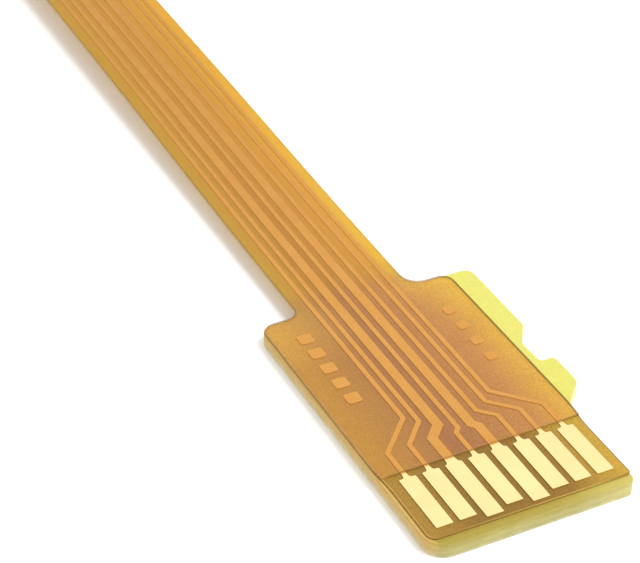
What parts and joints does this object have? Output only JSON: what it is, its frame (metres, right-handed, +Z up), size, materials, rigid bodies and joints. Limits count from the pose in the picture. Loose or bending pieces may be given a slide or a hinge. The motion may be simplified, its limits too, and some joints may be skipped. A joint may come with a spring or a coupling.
{
  "type": "flat flex cable",
  "caption": "Amber flat flex extension cable with a card-shaped contact plug on a stiffener at one end and a metal-shelled card socket at the other.",
  "frame": {"origin": "middle of the contact row at the front edge of the plug's film, on the surface that the cable lies on", "axes": "+Y along the cable from the plug's tip to the socket, +Z up out of the contacts, +X across towards the plug's notched side"},
  "size_m": [0.0166, 0.1505, 0.0026],
  "materials": {
    "fr4": "bare pale yellow-green glass-epoxy laminate, cut edges matt",
    "bond_sheet": "thin clear bonding sheet",
    "polyimide_base": "smooth amber polyimide film",
    "polyimide_cover": "smooth translucent amber polyimide coverlay",
    "plated_copper": "satin gold plating on etched copper",
    "copper": "etched copper under the coverlay",
    "black_moulding": "black moulded liquid-crystal polymer",
    "shell_steel": "thin stamped stainless steel",
    "spring_alloy": "gold-flashed phosphor bronze",
    "solder": "bright solder"
  },
  "bodies": {
    "root": {"card_stiffener": "fr4", "card_bond": "bond_sheet", "base_film": "polyimide_base", "coverlay": "polyimide_cover", "trace_1": "plated_copper", "trace_2": "plated_copper", "trace_3": "plated_copper", "trace_4": "plated_copper", "trace_5": "plated_copper", "trace_6": "plated_copper", "trace_7": "plated_copper", "trace_8": "plated_copper", "mark_1": "copper", "mark_2": "copper", "mark_3": "copper", "mark_4": "copper", "mark_5": "copper", "mark_6": "copper", "mark_7": "copper", "mark_8": "copper", "mark_9": "copper", "socket_board": "fr4", "board_bond": "bond_sheet", "socket_base": "black_moulding", "socket_shell": "shell_steel", "spring_1": "spring_alloy", "spring_2": "spring_alloy", "spring_3": "spring_alloy", "spring_4": "spring_alloy", "spring_5": "spring_alloy", "spring_6": "spring_alloy", "spring_7": "spring_alloy", "spring_8": "spring_alloy", "solder_1": "solder", "solder_2": "solder", "solder_3": "solder", "solder_4": "solder", "solder_5": "solder", "solder_6": "solder", "solder_7": "solder", "solder_8": "solder", "anchor_pad_1": "plated_copper", "anchor_pad_2": "plated_copper", "anchor_pad_3": "plated_copper", "anchor_pad_4": "plated_copper", "foot_solder_1": "solder", "foot_solder_2": "solder", "foot_solder_3": "solder", "foot_solder_4": "solder"}
  },
  "joints": []
}
